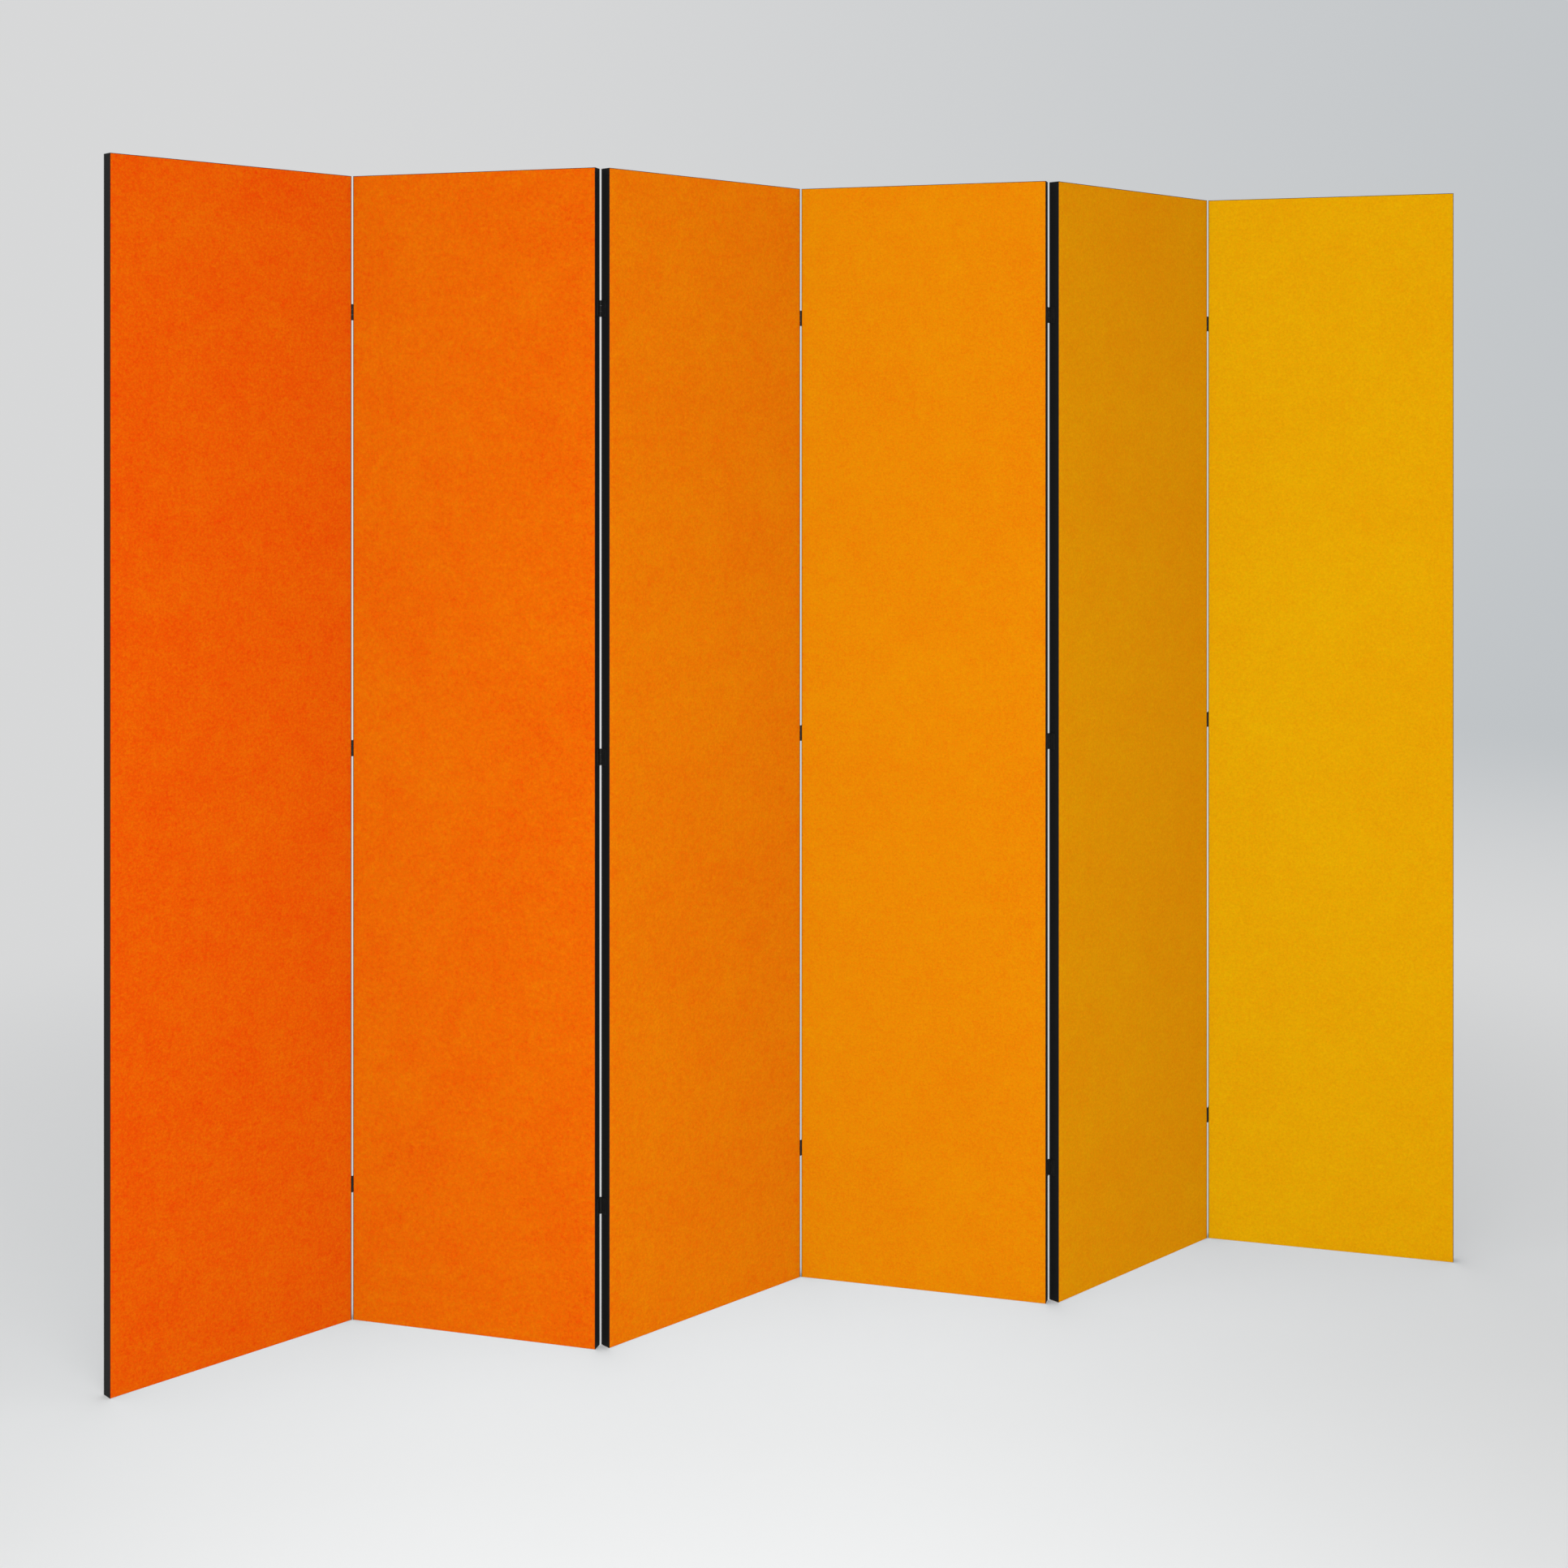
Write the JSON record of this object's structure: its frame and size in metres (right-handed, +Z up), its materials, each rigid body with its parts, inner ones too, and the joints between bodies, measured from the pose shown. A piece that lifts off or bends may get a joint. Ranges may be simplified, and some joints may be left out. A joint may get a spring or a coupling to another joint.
{
  "type": "folding screen",
  "caption": "Tall folding screen of flat felt-faced panels in a zig-zag, black edged, joined by small butt hinges so that it opens flat or folds like an accordion.",
  "frame": {"origin": "on the floor, under the middle of the standing screen's box", "axes": "+X along the screen from left to right as seen from the front, +Y from the front to the back, +Z up"},
  "size_m": [2.1824, 0.2196, 1.8],
  "materials": {
    "timber": "matte",
    "infill": "matte",
    "edge_band": "matte",
    "hinge": "satin",
    "felt_1": "matte",
    "felt_2": "matte",
    "felt_3": "matte",
    "felt_4": "matte",
    "felt_5": "matte",
    "felt_6": "matte"
  },
  "bodies": {
    "panel_1": {"panel_1_frame": "timber", "panel_1_core": "infill", "panel_1_edge_band": "edge_band", "panel_1_front_felt": "felt_1", "panel_1_back_felt": "felt_1", "hinge_12_bottom_pin_leaf": "hinge", "hinge_12_middle_pin_leaf": "hinge", "hinge_12_top_pin_leaf": "hinge"},
    "panel_2": {"panel_2_frame": "timber", "panel_2_core": "infill", "panel_2_edge_band": "edge_band", "panel_2_front_felt": "felt_2", "panel_2_back_felt": "felt_2", "hinge_12_bottom_free_leaf": "hinge", "hinge_12_middle_free_leaf": "hinge", "hinge_12_top_free_leaf": "hinge", "hinge_23_bottom_pin_leaf": "hinge", "hinge_23_middle_pin_leaf": "hinge", "hinge_23_top_pin_leaf": "hinge"},
    "panel_3": {"panel_3_frame": "timber", "panel_3_core": "infill", "panel_3_edge_band": "edge_band", "panel_3_front_felt": "felt_3", "panel_3_back_felt": "felt_3", "hinge_23_bottom_free_leaf": "hinge", "hinge_23_middle_free_leaf": "hinge", "hinge_23_top_free_leaf": "hinge", "hinge_34_bottom_pin_leaf": "hinge", "hinge_34_middle_pin_leaf": "hinge", "hinge_34_top_pin_leaf": "hinge"},
    "panel_4": {"panel_4_frame": "timber", "panel_4_core": "infill", "panel_4_edge_band": "edge_band", "panel_4_front_felt": "felt_4", "panel_4_back_felt": "felt_4", "hinge_34_bottom_free_leaf": "hinge", "hinge_34_middle_free_leaf": "hinge", "hinge_34_top_free_leaf": "hinge", "hinge_45_bottom_pin_leaf": "hinge", "hinge_45_middle_pin_leaf": "hinge", "hinge_45_top_pin_leaf": "hinge"},
    "panel_5": {"panel_5_frame": "timber", "panel_5_core": "infill", "panel_5_edge_band": "edge_band", "panel_5_front_felt": "felt_5", "panel_5_back_felt": "felt_5", "hinge_45_bottom_free_leaf": "hinge", "hinge_45_middle_free_leaf": "hinge", "hinge_45_top_free_leaf": "hinge", "hinge_56_bottom_pin_leaf": "hinge", "hinge_56_middle_pin_leaf": "hinge", "hinge_56_top_pin_leaf": "hinge"},
    "panel_6": {"panel_6_frame": "timber", "panel_6_core": "infill", "panel_6_edge_band": "edge_band", "panel_6_front_felt": "felt_6", "panel_6_back_felt": "felt_6", "hinge_56_bottom_free_leaf": "hinge", "hinge_56_middle_free_leaf": "hinge", "hinge_56_top_free_leaf": "hinge"}
  },
  "joints": [
    {"name": "fold_12", "type": "hinge", "parent": "panel_2", "child": "panel_1", "pos_m": [-0.7284, 0.09399, 0.9], "axis": [0, 0, 1], "range_deg": [-60, 120]},
    {"name": "fold_23", "type": "hinge", "parent": "panel_3", "child": "panel_2", "pos_m": [-0.3642, -0.09399, 0.9], "axis": [0, 0, -1], "range_deg": [-60, 120]},
    {"name": "fold_34", "type": "hinge", "parent": "panel_3", "child": "panel_4", "pos_m": [0, 0.09399, 0.9], "axis": [0, 0, -1], "range_deg": [-60, 120]},
    {"name": "fold_45", "type": "hinge", "parent": "panel_4", "child": "panel_5", "pos_m": [0.3642, -0.09399, 0.9], "axis": [0, 0, 1], "range_deg": [-60, 120]},
    {"name": "fold_56", "type": "hinge", "parent": "panel_5", "child": "panel_6", "pos_m": [0.7284, 0.09399, 0.9], "axis": [0, 0, -1], "range_deg": [-60, 120]}
  ]
}
